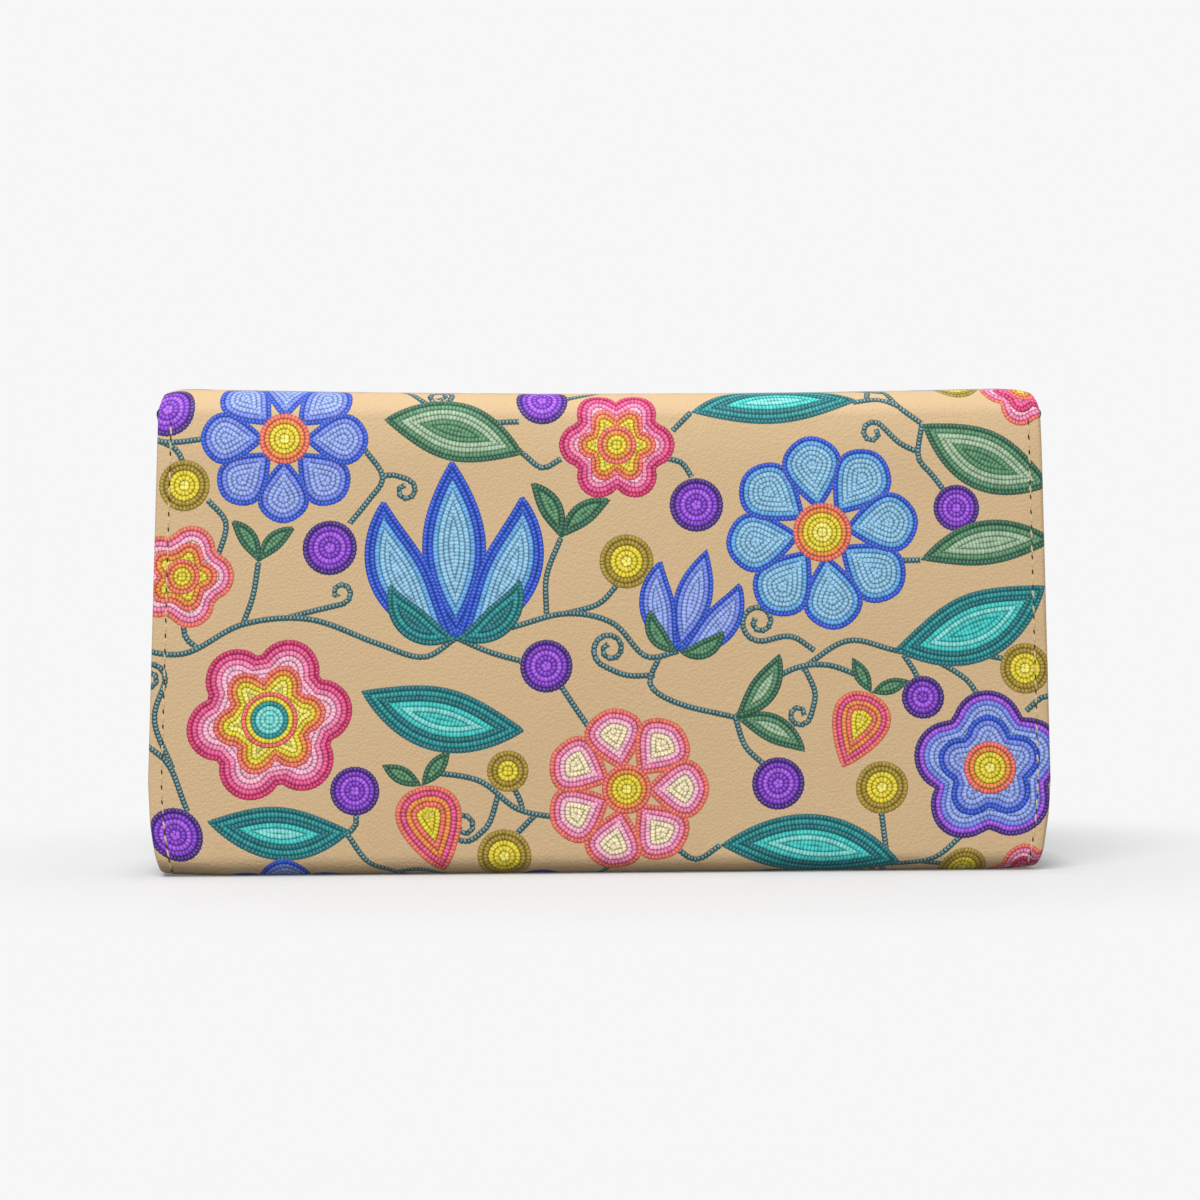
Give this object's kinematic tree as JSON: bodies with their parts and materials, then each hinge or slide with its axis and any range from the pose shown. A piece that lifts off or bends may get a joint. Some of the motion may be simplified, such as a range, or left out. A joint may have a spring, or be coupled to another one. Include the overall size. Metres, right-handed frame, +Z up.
{
  "type": "wallet",
  "caption": "Long fold-over wallet in printed coated cloth, standing on its base fold, with a snap flap, pleated side gussets, card panels and a zipped coin pocket.",
  "frame": {"origin": "on the ground under the middle of the closed wallet's box", "axes": "+X along the width, +Y towards the flap side, +Z up; the plain back with no flap faces -Y"},
  "size_m": [0.19, 0.0268, 0.102],
  "materials": {
    "printed_cover": "tan coated cloth with a fine satin grain and a printed floral pattern",
    "black_lining": "black woven lining cloth",
    "black_gusset": "thin black coated cloth, matt",
    "zip_tape": "black woven zip tape",
    "zip_coil": "black nylon coil",
    "zip_metal": "nickel plated",
    "snap_metal": "nickel plated, pressed"
  },
  "bodies": {
    "case": {"case_cover": "printed_cover", "case_lining": "black_lining", "coin_pocket": "black_lining", "gusset_left": "black_gusset", "gusset_right": "black_gusset", "card_panel_1": "black_lining", "card_panel_2": "black_lining", "card_panel_3": "black_lining", "card_panel_4": "black_lining", "zip_tape_rear": "zip_tape", "zip_tape_front": "zip_tape", "zip_coil_rear": "zip_coil", "zip_coil_front": "zip_coil", "zip_stop_left": "zip_metal", "zip_stop_right": "zip_metal", "snap_stud": "snap_metal"},
    "flap_spine": {"spine_cover": "printed_cover", "spine_lining": "black_lining"},
    "flap": {"flap_cover": "printed_cover", "flap_lining": "black_lining", "snap_socket": "snap_metal"},
    "slider": {"zip_slider": "zip_metal"},
    "pull": {"zip_pull": "zip_metal"}
  },
  "joints": [
    {"name": "rear_crease", "type": "hinge", "parent": "case", "child": "flap_spine", "pos_m": [0, -0.01133, 0.09993], "axis": [1, 0, 0], "range_deg": [0, 110]},
    {"name": "front_crease", "type": "hinge", "parent": "flap_spine", "child": "flap", "pos_m": [0, 0.01133, 0.09993], "axis": [1, 0, 0], "range_deg": [0, 90]},
    {"name": "zip_travel", "type": "slide", "parent": "case", "child": "slider", "axis": [1, 0, 0], "range_m": [0, 0.1322]},
    {"name": "pull_swing", "type": "hinge", "parent": "slider", "child": "pull", "pos_m": [-0.0661, -0.0004, 0.0824], "axis": [0, -1, 0], "range_deg": [0, 180]}
  ]
}
